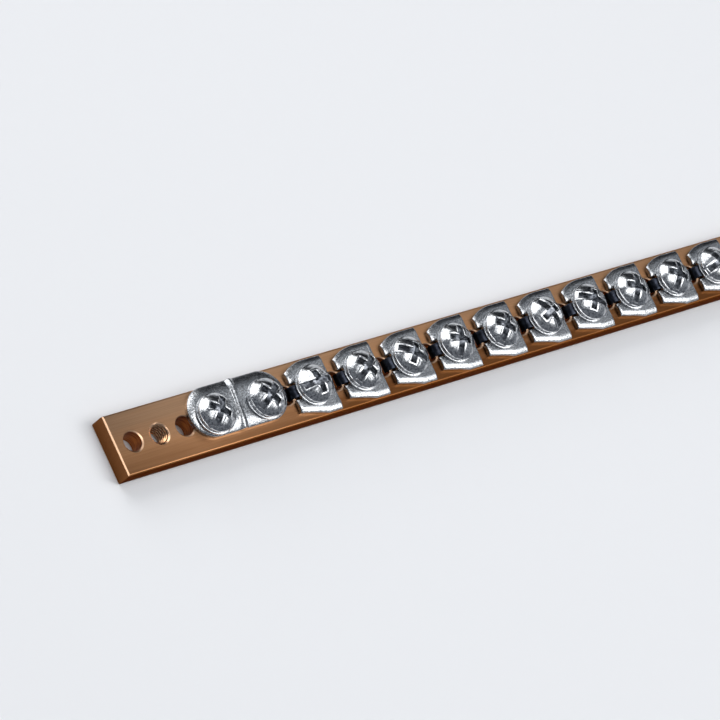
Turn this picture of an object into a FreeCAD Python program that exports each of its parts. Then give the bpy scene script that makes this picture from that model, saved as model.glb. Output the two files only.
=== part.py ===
# Rack grounding busbar: a drawn copper bar with clamp plates held down by M5 screws.
# Millimetres. X runs along the bar, Y across it towards its back edge, Z up.
# The origin lies under the middle of the bar, on the face that it rests on.
import FreeCAD, Part
import math
import os

import Sketcher
from FreeCAD import Placement, Rotation, Vector

doc = FreeCAD.newDocument("grounding_busbar")

# Driving dimensions
SIZES = [
    ("bar_width", 15, "flat bar, across"),
    ("bar_thickness", 5, "flat bar, up"),
    ("bar_edge_break", 0.3, "chamfer along the bar's edges"),
    ("hole_pitch", 7.5, "from one hole to the next"),
    ("end_margin", 5, "from the first and last hole to the bar's ends"),
    ("single_plates", 27, "number of clamp plates with one screw"),
    ("plain_hole_diameter", 4.9, "holes without thread"),
    ("thread_diameter", 5, "M5 thread, outside"),
    ("thread_depth", 0.4, "from the thread's outside to the core of the tapped hole"),
    ("tap_mouth_margin", 0.15, "how far the countersink reaches past the thread"),
    ("hole_edge_break", 0.15, "chamfer of the plain holes"),
    ("fit_clearance", 0.05, "between a shank and its hole, on the radius"),
    ("plate_sheet", 1.0, "sheet of the single clamp plates"),
    ("plate_lip_drop", 0.5, "how far their edges reach below the sheet"),
    ("plate_lip_width", 1.1, "width of those edges"),
    ("plate_gap", 3.3, "between one clamp plate and the next"),
    ("plate_right_reach", 5.75, "from the screw to the plate's right edge"),
    ("plate_front_margin", 0.5, "from the plate to the bar's front edge"),
    ("plate_back_margin", 0.65, "from the plate to the bar's back edge"),
    ("plate_front_taper", 1.75, "how far the front edge runs in towards the left"),
    ("plate_back_taper", 1.95, "how far the back edge runs in towards the left"),
    ("plate_square_end", 2.0, "from the screw to where the edges start to run in"),
    ("plate_back_radius", 15, "curve of the back edge"),
    ("plate_edge_round", 0.8, "rounding of the turned-down edges"),
    ("plate_edge_break", 0.2, "rounding of the cut edges"),
    ("plate_hole_gap", 0.15, "round the screw in both kinds of plate, on the radius"),
    ("notch_reach", 4.3, "from the screw to the bottom of the notch in the plate's left end"),
    ("tab_width", 3.1, "bent tab in the notch"),
    ("tab_side_gap", 0.55, "from the tab to the notch's sides"),
    ("tab_clearance", 0.15, "from the tab to the wall of the plain hole"),
    ("tab_dip", 0.9, "how far the tab reaches into the plain hole"),
    ("twin_sheet", 1.3, "sheet of the twin clamp plate"),
    ("twin_lip_drop", 0.7, "how far its rim reaches below the sheet"),
    ("twin_lip_width", 1.4, "width of that rim"),
    ("twin_width", 12.4, "twin plate, across"),
    ("twin_gap", 2.35, "from the twin plate's end to the next clamp plate"),
    ("twin_back_shift", 1.2, "how far the twin plate sits towards the back"),
    ("twin_right_shift", 0.6, "how far it sits towards the other plates"),
    ("twin_edge_round", 1.1, "rounding of its rim"),
    ("rib_foot", 2.1, "width of the rib across the twin plate"),
    ("rib_crest", 0.8, "width of its top"),
    ("rib_rise", 0.6, "height of the rib"),
    ("rib_skew", 7, "turn of the rib out of square, in degrees"),
    ("rib_end_margin", 0.35, "from the rib's ends to the plate's long sides"),
    ("head_diameter", 10, "screw head"),
    ("head_side", 1.3, "straight side of the head"),
    ("head_height", 3.7, "whole head"),
    ("head_edge_break", 0.2, "rounding under the head's rim"),
    ("slot_width", 1.44, "screwdriver slot"),
    ("slot_reach", 4.05, "from the axis to the slot's ends"),
    ("slot_depth", 2.3, "from the top of the head"),
    ("cross_reach", 2.8, "from the axis to the ends of the cross"),
    ("cross_depth", 2.5, "from the top of the head"),
    ("socket_radius", 1.5, "centre of the cross, at the top of the head"),
    ("socket_depth", 2.9, "centre of the cross"),
    ("shank_tip_gap", 0.5, "from the shank's tip to the bar's underside"),
    ("shank_tip_break", 0.4, "chamfer of the tip"),
]

sheet = doc.addObject("Spreadsheet::Sheet", "Sizes")
for row, (alias, number, meaning) in enumerate(SIZES, start=1):
    sheet.set(f"A{row}", meaning)
    sheet.set(f"B{row}", str(number))
    sheet.setAlias(f"B{row}", alias)
doc.recompute()

# The screws' turns as seen from above, in degrees from the bar's length, left to right
SCREW_TURNS = [50, 33, 3, 35, -38, 63, 51, -68, -33, 59, 55]
TURN_STEP = 67

# Holes, counted from 0 at the left; the odd ones are tapped
TWIN_MIDDLE = 4
FIRST_SINGLE = 7
FREE_AT_RIGHT = 3
TOUCHING = 0.01

# Sizes that follow from the driving ones
LAST_HOLE = f"({FIRST_SINGLE} + 2 * (Sizes.single_plates - 1) + {FREE_AT_RIGHT})"
BAR_LENGTH = f"(2 * Sizes.end_margin + {LAST_HOLE} * Sizes.hole_pitch)"
HALF_WIDTH = "Sizes.bar_width / 2"
PLATE_HEIGHT = "(Sizes.plate_sheet + Sizes.plate_lip_drop)"
PLATE_LEFT = "(2 * Sizes.hole_pitch - Sizes.plate_gap - Sizes.plate_right_reach)"
PLATE_FRONT = f"({HALF_WIDTH} - Sizes.plate_front_margin)"
PLATE_BACK = f"({HALF_WIDTH} - Sizes.plate_back_margin)"
TWIN_HEIGHT = "(Sizes.twin_sheet + Sizes.twin_lip_drop)"
CORE_RADIUS = "(Sizes.thread_diameter / 2 - Sizes.thread_depth)"
SHANK_RADIUS = f"({CORE_RADIUS} - Sizes.fit_clearance)"
SHANK_LENGTH = f"({PLATE_HEIGHT} + Sizes.bar_thickness - Sizes.shank_tip_gap)"
PLATE_HOLE_RADIUS = "(Sizes.thread_diameter / 2 + Sizes.plate_hole_gap)"


def value(expression):
    """The number that an expression gives."""
    return float(sheet.evalExpression(expression))


def hole_place(number):
    """Where a hole lies along the bar."""
    return f"({number} - {LAST_HOLE} / 2) * Sizes.hole_pitch"


def new_body(label, x, z, turn=0):
    """An empty body whose own origin is placed on the bar's centre line."""
    body = doc.addObject("PartDesign::Body", label)
    body.Label = label
    body.Placement = Placement(Vector(value(x), 0, value(z)), Rotation(Vector(0, 0, 1), turn))
    body.setExpression("Placement.Base.x", x)
    body.setExpression("Placement.Base.z", z)
    return body


def new_sketch(body, plane, name, shift="0", turn=0):
    """A sketch on one of the body's own planes, moved along its normal or along its first axis."""
    sketch = body.newObject("Sketcher::SketchObject", name)
    face = [origin for origin in body.Origin.OriginFeatures if origin.Role == plane][0]
    sketch.AttachmentSupport = [(face, "")]
    sketch.MapMode = "FlatFace"
    sketch.AttachmentOffset = Placement(Vector(0, 0, 0), Rotation(Vector(0, 1, 0), turn))
    axis = "z" if plane == "XY_Plane" else "x"
    sketch.setExpression(f"AttachmentOffset.Base.{axis}", shift)
    return sketch


def tie(sketch, kind, geometry, point, expression):
    """Ties one dimension of a sketch to the sheet."""
    if kind == "Radius":
        constraint = Sketcher.Constraint(kind, geometry, value(expression))
    else:
        constraint = Sketcher.Constraint(kind, -1, 1, geometry, point, value(expression))
    number = sketch.addConstraint(constraint)
    sketch.setExpression(f"Constraints[{number}]", expression)


def closed_outline(sketch, corners, arcs={}):
    """Closed outline through corners given counter-clockwise; arcs names the sides that bulge."""
    points = [Vector(value(across), value(up), 0) for across, up in corners]
    count = len(points)
    for index, start in enumerate(points):
        end = points[(index + 1) % count]
        if index in arcs:
            radius = value(arcs[index])
            chord = end - start
            inward = Vector(-chord.y, chord.x, 0).normalize()
            sag = radius - math.sqrt(radius ** 2 - chord.Length ** 2 / 4)
            middle = (start + end) / 2 - inward * sag
            sketch.addGeometry(Part.Arc(start, middle, end))
        else:
            sketch.addGeometry(Part.LineSegment(start, end))
    for index in range(count):
        following = (index + 1) % count
        sketch.addConstraint(Sketcher.Constraint("Coincident", index, 2, following, 1))
    for index, (across, up) in enumerate(corners):
        tie(sketch, "DistanceX", index, 1, across)
        tie(sketch, "DistanceY", index, 1, up)
    for index, radius in arcs.items():
        tie(sketch, "Radius", index, 0, radius)


def rectangle(sketch, left, right, front, back):
    """Closed rectangle between four sides."""
    closed_outline(sketch, [(left, front), (right, front), (right, back), (left, back)])


def circle(sketch, across, radius):
    """Circle on the sketch's first axis."""
    centre = Vector(value(across), 0, 0)
    geometry = sketch.addGeometry(Part.Circle(centre, Vector(0, 0, 1), value(radius)))
    tie(sketch, "DistanceX", geometry, 3, across)
    tie(sketch, "DistanceY", geometry, 3, "0")
    tie(sketch, "Radius", geometry, 0, radius)


def obround(sketch, half_straight, radius, along, shift):
    """Straight sides joined by half circles."""
    reach = value(half_straight)
    size = value(radius)
    centre = value(along)
    middle = value(shift)
    half_turn = math.pi / 2
    for side, start in ((1, -half_turn), (-1, half_turn)):
        ring = Part.Circle(Vector(centre + side * reach, middle, 0), Vector(0, 0, 1), size)
        sketch.addGeometry(Part.ArcOfCircle(ring, start, start + math.pi))
    for side in (1, -1):
        start = Vector(centre + side * reach, middle + side * size, 0)
        end = Vector(centre - side * reach, middle + side * size, 0)
        sketch.addGeometry(Part.LineSegment(start, end))
    for first, second in ((0, 2), (2, 1), (1, 3), (3, 0)):
        sketch.addConstraint(Sketcher.Constraint("Coincident", first, 2, second, 1))
    for arc, sign in ((0, ""), (1, "-")):
        tie(sketch, "DistanceX", arc, 3, f"{along} + {sign}({half_straight})")
        tie(sketch, "DistanceY", arc, 3, shift)
        tie(sketch, "Radius", arc, 0, radius)
    for line, signs in ((2, ("", "-")), (3, ("-", ""))):
        tie(sketch, "DistanceX", line, 1, f"{along} + {signs[0]}({half_straight})")
        tie(sketch, "DistanceX", line, 2, f"{along} + {signs[1]}({half_straight})")


def pad(body, sketch, length, both_sides=False):
    """Raises a sketch to a solid."""
    feature = body.newObject("PartDesign::Pad", sketch.Name + "_pad")
    feature.Profile = sketch
    feature.setExpression("Length", length)
    if both_sides:
        feature.SideType = "Symmetric"
    doc.recompute()
    return feature


def pocket(body, sketch, depth, upwards=False):
    """Cuts a sketch into the solid, downwards or upwards."""
    before = body.Shape.Volume
    feature = body.newObject("PartDesign::Pocket", sketch.Name + "_pocket")
    feature.Profile = sketch
    feature.Reversed = upwards
    feature.setExpression("Length", depth)
    doc.recompute()
    if body.Shape.Volume >= before:
        raise RuntimeError(f"{feature.Name} cuts nothing")
    return feature


def turned_cut(body, sketch):
    """Cuts a half profile turned about its upright axis."""
    before = body.Shape.Volume
    feature = body.newObject("PartDesign::Groove", sketch.Name + "_cut")
    feature.Profile = sketch
    feature.ReferenceAxis = (sketch, ["V_Axis"])
    feature.Angle = 360
    doc.recompute()
    if body.Shape.Volume >= before:
        raise RuntimeError(f"{feature.Name} cuts nothing")
    return feature


def soften(body, kind, size, wanted):
    """Fillets or chamfers the edges that wanted picks by their middle point in the body's own axes."""
    base = body.Tip
    names = []
    for index, edge in enumerate(base.Shape.Edges, start=1):
        middle = edge.valueAt((edge.FirstParameter + edge.LastParameter) / 2)
        if wanted(middle, edge):
            names.append(f"Edge{index}")
    feature = body.newObject(f"PartDesign::{kind}", f"{body.Name}_{kind.lower()}")
    feature.Base = (base, names)
    feature.setExpression("Radius" if kind == "Fillet" else "Size", size)
    doc.recompute()
    if not feature.isValid():
        raise RuntimeError(f"{feature.Name} fails on {len(names)} edges")
    return feature


# Grounding bar: drawn flat copper, every second hole tapped M5
def add_bar_holes(bar, name, first_hole, count, corners):
    """Cuts one kind of hole and repeats it along the bar."""
    sketch = new_sketch(bar, "XZ_Plane", name, shift=hole_place(first_hole))
    closed_outline(sketch, corners)
    first = turned_cut(bar, sketch)
    row = bar.newObject("PartDesign::LinearPattern", name + "_row")
    row.Originals = [first]
    along = [origin for origin in bar.Origin.OriginFeatures if origin.Role == "X_Axis"][0]
    row.Direction = (along, [""])
    row.Mode = "Spacing"
    row.setExpression("Offset", "2 * Sizes.hole_pitch")
    row.setExpression("Occurrences", count)
    bar.Tip = row
    doc.recompute()


def make_bar():
    bar = new_body("grounding_bar", "0", "0")
    section = new_sketch(bar, "XY_Plane", "bar_face")
    rectangle(section, f"-{BAR_LENGTH} / 2", f"{BAR_LENGTH} / 2", f"-{HALF_WIDTH}", HALF_WIDTH)
    pad(bar, section, "Sizes.bar_thickness")
    soften(bar, "Chamfer", "Sizes.bar_edge_break", lambda middle, edge: True)
    top = "Sizes.bar_thickness"
    plain = "Sizes.plain_hole_diameter / 2"
    plain_mouth = f"{plain} + Sizes.hole_edge_break"
    break_depth = "Sizes.hole_edge_break"
    add_bar_holes(bar, "plain_hole", 0, f"{LAST_HOLE} / 2 + 1", [
        ("0", "0"), (plain_mouth, "0"), (plain, break_depth),
        (plain, f"{top} - {break_depth}"), (plain_mouth, top), ("0", top),
    ])
    mouth_depth = "(Sizes.thread_depth + Sizes.tap_mouth_margin)"
    mouth = f"{CORE_RADIUS} + {mouth_depth}"
    add_bar_holes(bar, "tapped_hole", 1, f"{LAST_HOLE} / 2", [
        ("0", "0"), (mouth, "0"), (CORE_RADIUS, mouth_depth),
        (CORE_RADIUS, f"{top} - {mouth_depth}"), (mouth, top), ("0", top),
    ])
    return bar


# Clamp plate: pressed steel sheet with turned-down long edges, a notch and a bent tab
def make_clamp_plate(label, hole_number):
    plate = new_body(label, hole_place(hole_number), "Sizes.bar_thickness")
    right = "Sizes.plate_right_reach"
    square = "Sizes.plate_square_end"
    notch = "(Sizes.tab_width / 2 + Sizes.tab_side_gap)"
    front_left = f"-({PLATE_FRONT} - Sizes.plate_front_taper)"
    back_left = f"({PLATE_BACK} - Sizes.plate_back_taper)"
    outline = new_sketch(plate, "XY_Plane", label + "_outline")
    closed_outline(outline, [
        (square, f"-{PLATE_FRONT}"), (right, f"-{PLATE_FRONT}"), (right, PLATE_BACK),
        (square, PLATE_BACK), (f"-{PLATE_LEFT}", back_left), (f"-{PLATE_LEFT}", notch),
        ("-Sizes.notch_reach", notch), ("-Sizes.notch_reach", f"-{notch}"),
        (f"-{PLATE_LEFT}", f"-{notch}"), (f"-{PLATE_LEFT}", front_left),
    ], arcs={3: "Sizes.plate_back_radius"})
    pad(plate, outline, PLATE_HEIGHT)

    turned_down = value("Sizes.plate_edge_round")
    height = value(PLATE_HEIGHT)
    right_end = value(right)
    left_end = -value(PLATE_LEFT)
    notch_side = value(notch)

    def long_edge(middle, edge):
        along = abs(edge.Vertexes[0].X - edge.Vertexes[-1].X) > turned_down
        return along and middle.z > height - TOUCHING and abs(middle.y) > notch_side + TOUCHING

    soften(plate, "Fillet", "Sizes.plate_edge_round", long_edge)

    lip = "Sizes.plate_lip_width"
    beyond = "Sizes.plate_gap"
    hollow = new_sketch(plate, "XY_Plane", label + "_hollow")
    closed_outline(hollow, [
        (square, f"-{PLATE_FRONT} + {lip}"), (f"{right} + {beyond}", f"-{PLATE_FRONT} + {lip}"),
        (f"{right} + {beyond}", f"{PLATE_BACK} - {lip}"), (square, f"{PLATE_BACK} - {lip}"),
        (f"-{PLATE_LEFT}", f"{back_left} - {lip}"), (f"-{PLATE_LEFT} - {beyond}", f"{back_left} - {lip}"),
        (f"-{PLATE_LEFT} - {beyond}", f"{front_left} + {lip}"), (f"-{PLATE_LEFT}", f"{front_left} + {lip}"),
    ])
    pocket(plate, hollow, "Sizes.plate_lip_drop", upwards=True)

    tab_half = "Sizes.tab_width / 2"
    hole_inside = "(Sizes.plain_hole_diameter / 2 - Sizes.tab_clearance)"
    leg_right = f"-(Sizes.hole_pitch - sqrt({hole_inside}^2 - ({tab_half})^2))"
    leg_left = f"({leg_right} - Sizes.plate_sheet)"
    under = "Sizes.plate_lip_drop"
    bend_run = f"({leg_left} + Sizes.notch_reach)"
    bend_radius = f"({bend_run}^2 + {PLATE_HEIGHT}^2) / (2 * {PLATE_HEIGHT})"
    tab = new_sketch(plate, "XZ_Plane", label + "_tab")
    closed_outline(tab, [
        (leg_left, "-Sizes.tab_dip"), (leg_right, "-Sizes.tab_dip"), (leg_right, f"{under} / 2"),
        (f"{leg_right} + {under}", under), (f"-Sizes.notch_reach + {under}", under),
        (f"-Sizes.notch_reach + {under}", PLATE_HEIGHT), ("-Sizes.notch_reach", PLATE_HEIGHT),
        (leg_left, "0"),
    ], arcs={6: bend_radius})
    pad(plate, tab, "Sizes.tab_width", both_sides=True)

    screw_hole = new_sketch(plate, "XY_Plane", label + "_screw_hole", shift=PLATE_HEIGHT)
    circle(screw_hole, "0", PLATE_HOLE_RADIUS)
    pocket(plate, screw_hole, PLATE_HEIGHT)

    def cut_end(middle, edge):
        at_end = min(abs(middle.x - right_end), abs(middle.x - left_end)) < TOUCHING
        return at_end and middle.z > height - TOUCHING

    soften(plate, "Fillet", "Sizes.plate_edge_break", cut_end)
    return plate


# Twin clamp plate: pressed steel, long and rounded, with a rib across its middle
def make_twin_plate(label, middle_hole):
    plate = new_body(label, hole_place(middle_hole), "Sizes.bar_thickness")
    radius = "Sizes.twin_width / 2"
    end_reach = f"(2 * Sizes.hole_pitch - {PLATE_LEFT} - Sizes.twin_gap)"
    half_straight = f"Sizes.hole_pitch + {end_reach} - {radius}"
    along = "Sizes.twin_right_shift"
    shift = "Sizes.twin_back_shift"
    outline = new_sketch(plate, "XY_Plane", label + "_outline")
    obround(outline, half_straight, radius, along, shift)
    pad(plate, outline, TWIN_HEIGHT)
    height = value(TWIN_HEIGHT)
    soften(plate, "Fillet", "Sizes.twin_edge_round",
           lambda middle, edge: middle.z > height - TOUCHING)
    hollow = new_sketch(plate, "XY_Plane", label + "_hollow")
    obround(hollow, half_straight, f"{radius} - Sizes.twin_lip_width", along, shift)
    pocket(plate, hollow, "Sizes.twin_lip_drop", upwards=True)

    rib = new_sketch(plate, "XZ_Plane", label + "_rib", turn=-value("Sizes.rib_skew"))
    rib.setExpression("AttachmentOffset.Base.z", f"-{shift}")
    rib.setExpression("AttachmentOffset.Rotation.Angle", "-Sizes.rib_skew")
    root = f"{TWIN_HEIGHT} - Sizes.twin_sheet / 2"
    closed_outline(rib, [
        ("-Sizes.rib_foot / 2", root), ("Sizes.rib_foot / 2", root), ("Sizes.rib_foot / 2", TWIN_HEIGHT),
        ("Sizes.rib_crest / 2", f"{TWIN_HEIGHT} + Sizes.rib_rise"),
        ("-Sizes.rib_crest / 2", f"{TWIN_HEIGHT} + Sizes.rib_rise"), ("-Sizes.rib_foot / 2", TWIN_HEIGHT),
    ])
    pad(plate, rib, "Sizes.twin_width - 2 * Sizes.rib_end_margin", both_sides=True)

    screw_holes = new_sketch(plate, "XY_Plane", label + "_screw_holes", shift=TWIN_HEIGHT)
    for side in ("-", ""):
        circle(screw_holes, f"{side}Sizes.hole_pitch", PLATE_HOLE_RADIUS)
    pocket(plate, screw_holes, TWIN_HEIGHT)
    return plate


# Terminal screw: M5 pan head with a slot and a cross recess, shank at the thread's core
def make_screw(label, hole_number, plate_height, turn):
    screw = new_body(label, hole_place(hole_number), f"Sizes.bar_thickness + {plate_height}", turn)
    head_radius = "Sizes.head_diameter / 2"
    rise = "(Sizes.head_height - Sizes.head_side)"
    dome = f"(({head_radius})^2 + {rise}^2) / (2 * {rise})"
    edge = "Sizes.head_edge_break"
    profile = new_sketch(screw, "XZ_Plane", label + "_profile")
    closed_outline(profile, [
        ("0", f"-{SHANK_LENGTH}"), (f"{SHANK_RADIUS} - Sizes.shank_tip_break", f"-{SHANK_LENGTH}"),
        (SHANK_RADIUS, f"-{SHANK_LENGTH} + Sizes.shank_tip_break"), (SHANK_RADIUS, "0"),
        (f"{head_radius} - {edge}", "0"), (head_radius, edge), (head_radius, "Sizes.head_side"),
        ("0", "Sizes.head_height"),
    ], arcs={6: dome})
    blank = screw.newObject("PartDesign::Revolution", label + "_blank")
    blank.Profile = profile
    blank.ReferenceAxis = (profile, ["V_Axis"])
    blank.Angle = 360
    doc.recompute()

    half_slot = "Sizes.slot_width / 2"
    slot = new_sketch(screw, "XY_Plane", label + "_slot", shift="Sizes.head_height")
    rectangle(slot, "-Sizes.slot_reach", "Sizes.slot_reach", f"-{half_slot}", half_slot)
    pocket(screw, slot, "Sizes.slot_depth")
    cross = new_sketch(screw, "XY_Plane", label + "_cross", shift="Sizes.head_height")
    rectangle(cross, f"-{half_slot}", half_slot, "-Sizes.cross_reach", "Sizes.cross_reach")
    pocket(screw, cross, "Sizes.cross_depth")
    socket = new_sketch(screw, "XZ_Plane", label + "_socket")
    closed_outline(socket, [
        ("0", "Sizes.head_height - Sizes.socket_depth"), ("Sizes.socket_radius", "Sizes.head_height"),
        ("0", "Sizes.head_height"),
    ])
    turned_cut(screw, socket)
    return screw


sub_parts = [make_bar(), make_twin_plate("twin_clamp_plate", TWIN_MIDDLE)]
single_holes = [FIRST_SINGLE + 2 * index for index in range(int(value("Sizes.single_plates")))]
for number, hole in enumerate(single_holes, start=1):
    sub_parts.append(make_clamp_plate(f"clamp_plate_{number:02d}", hole))

screw_seats = [(TWIN_MIDDLE - 1, TWIN_HEIGHT), (TWIN_MIDDLE + 1, TWIN_HEIGHT)]
screw_seats += [(hole, PLATE_HEIGHT) for hole in single_holes]
for number, (hole, seat) in enumerate(screw_seats, start=1):
    turn = SCREW_TURNS[number - 1] if number <= len(SCREW_TURNS) else number * TURN_STEP % 180
    sub_parts.append(make_screw(f"terminal_screw_{number:02d}", hole, seat, turn))
doc.recompute()

for item in doc.Objects:
    if "Invalid" in item.State or "Error" in item.State:
        raise RuntimeError(f"{item.Label} is not sound: {item.State}")

for body in sub_parts:
    if body.Shape.isNull() or not body.Shape.isValid() or len(body.Shape.Solids) != 1:
        raise RuntimeError(f"{body.Label} is not one valid solid")

os.makedirs("parts", exist_ok=True)
for body in sub_parts:
    body.Shape.exportStep(f"parts/{body.Label}.step")
print(len(sub_parts), "parts written")
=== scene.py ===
# Rack grounding busbar: a drawn copper bar, pressed clamp plates and bright terminal screws.
# Metres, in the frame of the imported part: X along the bar, Y across it, Z up.
import math

import bmesh
import bpy
from mathutils import Matrix, Vector


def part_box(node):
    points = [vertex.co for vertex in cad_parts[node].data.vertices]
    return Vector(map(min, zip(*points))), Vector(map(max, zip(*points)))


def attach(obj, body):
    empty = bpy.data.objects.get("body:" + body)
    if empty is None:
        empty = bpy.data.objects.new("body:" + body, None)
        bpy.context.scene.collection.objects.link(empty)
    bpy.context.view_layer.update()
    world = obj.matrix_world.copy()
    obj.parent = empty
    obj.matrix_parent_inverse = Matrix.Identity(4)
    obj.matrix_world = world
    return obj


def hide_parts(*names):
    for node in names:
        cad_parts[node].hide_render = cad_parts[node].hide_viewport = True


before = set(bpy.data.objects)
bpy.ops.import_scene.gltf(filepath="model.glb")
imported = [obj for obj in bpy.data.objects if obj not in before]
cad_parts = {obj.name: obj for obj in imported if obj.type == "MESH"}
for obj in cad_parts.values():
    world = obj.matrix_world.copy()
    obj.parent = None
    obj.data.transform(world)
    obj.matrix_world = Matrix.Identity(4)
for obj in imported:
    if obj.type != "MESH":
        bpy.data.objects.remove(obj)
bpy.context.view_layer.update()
MM = 0.001


# Grounding bar
# A flat bar of electrolytic copper, drawn to 15 x 5 mm and sawn off, its edges broken. It is drilled
# every 7.5 mm, and every second hole is tapped M5; the two free tapped holes show their thread.
BAR_LOW, BAR_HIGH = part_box("grounding_bar")
BAR_TOP = BAR_HIGH.z
HOLE_PITCH = 7.5 * MM
HOLES = 63
# The tapped holes near the ends hold no screw.
FREE_TAPPED = (1, HOLES - 2)
PLAIN_RADIUS = 2.4 * MM
HOLE_EDGE_BREAK = 0.3 * MM
THREAD_RADIUS = 2.5 * MM
THREAD_CREST = 2.1 * MM
THREAD_PITCH = 0.8 * MM
FLANK_STEEPNESS = 1.3
FLANK_START = 0.15
MOUTH_RADIUS = 2.75 * MM
HOLE_BREAK_SLOPE = math.tan(math.radians(29))
# The mouths are cut by hand, so they lie a little off their holes.
MOUTH_SHIFT = Vector((0.11, -0.1, 0)) * MM
EDGE_BREAK = 0.4 * MM
# The broken edges step by step, as shares of their width: inset at the ends, which are filed flat,
# inset at the sides, which are drawn round, and drop.
EDGE_PROFILE = [(0.713, 0.5, 0.134), (0.056, 0.171, 0.44), (0.0, 0.0, 1.0)]
RING_POINTS = 64
THREAD_RINGS = 66
# How far below a face the edges' bright cut reaches, and how near to a side counts as on it
CUT_DEPTH = 0.15 * MM
SIDE_MARGIN = 0.01 * MM
# The bar's surfaces, by the order in which their materials are added
THREAD_SURFACE = 1
EDGE_SURFACE = 2
HOLE_SURFACE = 3
SIDE_SURFACE = 4


def hole_x(number):
    """Where a hole lies along the bar, counted from 0 at the left."""
    return (number - (HOLES - 1) / 2) * HOLE_PITCH


def ring_edges(points):
    """The open edges that join the points of one ring."""
    inside = set(points)
    # A dict keeps the edges in the same order at every run, which a set doesn't.
    edges = dict.fromkeys(edge for point in points for edge in point.link_edges)
    return [edge for edge in edges if len(edge.link_faces) < 2 and set(edge.verts) <= inside]


def next_ring(shape, points, radius, height):
    """Draws a ring out to a new radius and height, and joins it to the last one."""
    made = bmesh.ops.extrude_edge_only(shape, edges=ring_edges(points))["geom"]
    grown = [item for item in made if isinstance(item, bmesh.types.BMVert)]
    for point in grown:
        point.co.xy = point.co.xy.normalized() * radius
        point.co.z = height
    return grown


def push_to_cell(points, half_length, half_width):
    """Pushes a ring out to the sides of one hole's rectangle of the bar's face."""
    for point in points:
        reach = max(abs(point.co.x) / half_length, abs(point.co.y) / half_width)
        point.co.x /= reach
        point.co.y /= reach
    for side in (-1, 1):
        for end in (-1, 1):
            corner = Vector((side * half_length, end * half_width))
            nearest = min(points, key=lambda point: (point.co.xy - corner).length)
            nearest.co.xy = corner


def thread_radius(angle, height):
    """How far the tapped wall lies from its axis: a 60 degree thread with countersunk mouths."""
    turn = (height / THREAD_PITCH - angle / math.tau) % 1.0
    flank = abs(turn - 0.5) * 2
    share = min(max(flank * FLANK_STEEPNESS - FLANK_START, 0.0), 1.0)
    wall = THREAD_CREST + (THREAD_RADIUS - THREAD_CREST) * share
    from_face = min(height, BAR_TOP - height)
    mouth = MOUTH_RADIUS + MOUTH_SHIFT.x * math.cos(angle) + MOUTH_SHIFT.y * math.sin(angle)
    return max(wall, mouth - from_face / HOLE_BREAK_SLOPE)


def add_hole(shape, number, kind):
    """One hole with its rectangle of the bottom and top face, drawn ring by ring."""
    if kind == "plain":
        depth = HOLE_EDGE_BREAK * HOLE_BREAK_SLOPE
        wall = PLAIN_RADIUS
        mouth = PLAIN_RADIUS + HOLE_EDGE_BREAK
    else:
        depth = (MOUTH_RADIUS - THREAD_CREST) * HOLE_BREAK_SLOPE
        wall = THREAD_CREST
        mouth = MOUTH_RADIUS
    heights = [depth, BAR_TOP - depth]
    if kind == "threaded":
        heights = [BAR_TOP * step / THREAD_RINGS for step in range(1, THREAD_RINGS)]
    first = bmesh.ops.create_circle(shape, segments=RING_POINTS, radius=mouth)["verts"]
    everything = list(first)
    ring = first
    for height in heights:
        ring = next_ring(shape, ring, wall, height)
        everything += ring
        if kind == "threaded":
            for point in ring:
                angle = math.atan2(point.co.y, point.co.x)
                point.co.xy = point.co.xy.normalized() * thread_radius(angle, height)
    ring = next_ring(shape, ring, mouth, BAR_TOP)
    everything += ring
    for edge_ring, height in ((first, 0), (ring, BAR_TOP)):
        cell = next_ring(shape, edge_ring, HOLE_PITCH, height)
        push_to_cell(cell, HOLE_PITCH / 2, BAR_HIGH.y - EDGE_BREAK)
        everything += cell
        bmesh.ops.translate(shape, verts=edge_ring, vec=MOUTH_SHIFT)
    bmesh.ops.translate(shape, verts=everything, vec=(hole_x(number), 0, 0))


def close_sides(shape):
    """Draws the faces' outlines out to the bar's broken edges and joins them by its four sides."""
    bmesh.ops.remove_doubles(shape, verts=shape.verts, dist=0.002 * MM)
    last_cell = hole_x(HOLES - 1) + HOLE_PITCH / 2
    loops = []
    for height in (0, BAR_TOP):
        rim = [edge for edge in shape.edges
               if edge.is_boundary and abs(edge.verts[0].co.z - height) < EDGE_BREAK / 2]
        points = dict.fromkeys(point for edge in rim for point in edge.verts)
        for point in points:
            if abs(point.co.x) > last_cell - EDGE_BREAK / 2:
                point.co.x = math.copysign(BAR_HIGH.x - EDGE_BREAK, point.co.x)
        for end_inset, side_inset, drop in EDGE_PROFILE:
            made = bmesh.ops.extrude_edge_only(shape, edges=rim)["geom"]
            for point in [item for item in made if isinstance(item, bmesh.types.BMVert)]:
                if abs(point.co.x) > BAR_HIGH.x - EDGE_BREAK * 1.5:
                    point.co.x = math.copysign(BAR_HIGH.x - end_inset * EDGE_BREAK, point.co.x)
                if abs(point.co.y) > BAR_HIGH.y - EDGE_BREAK * 1.5:
                    point.co.y = math.copysign(BAR_HIGH.y - side_inset * EDGE_BREAK, point.co.y)
                point.co.z = abs(height - drop * EDGE_BREAK)
            rim = [item for item in made if isinstance(item, bmesh.types.BMEdge) and item.is_boundary]
        loops += rim
    bmesh.ops.bridge_loops(shape, edges=loops)


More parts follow.
